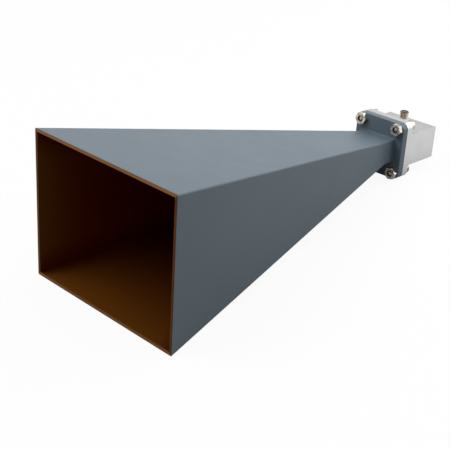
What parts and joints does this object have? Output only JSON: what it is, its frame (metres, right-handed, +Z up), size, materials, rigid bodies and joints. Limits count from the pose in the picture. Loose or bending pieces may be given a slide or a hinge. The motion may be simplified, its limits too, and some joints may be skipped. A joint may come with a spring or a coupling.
{
  "type": "horn antenna with waveguide adapter",
  "caption": "Pyramidal microwave horn antenna, painted outside and bare metal inside, with a bolted waveguide-to-coax adapter block at its throat.",
  "frame": {"origin": "on the table, under the middle of the part's box, as the horn lies on the lower edge of its mouth and the lower rear edge of the adapter's flange", "axes": "+X across the broad side of the waveguide, +Y from the mouth back to the coax end, +Z up; the horn's own axis lies in the YZ plane and dips 5.9 degrees towards +Y"},
  "size_m": [0.1226, 0.2942, 0.0945],
  "materials": {
    "horn_paint": "satin blue-grey enamel",
    "bare_horn_metal": "dull copper-brown, bare inside the horn and on its rim",
    "block_aluminium": "fine matt, clear",
    "fastener_steel": "bright plated",
    "connector_steel": "passivated, machined",
    "insulator_plastic": "white, waxy",
    "contact_gold": "gold plated"
  },
  "bodies": {
    "root": {"horn_flare": "horn_paint", "throat_tube": "bare_horn_metal", "horn_flange": "horn_paint", "adapter_body": "block_aluminium", "flange_screws": "fastener_steel", "lock_washers": "fastener_steel", "hex_nuts": "fastener_steel", "coax_shell": "connector_steel", "insulator": "insulator_plastic", "centre_contact": "contact_gold"}
  },
  "joints": []
}
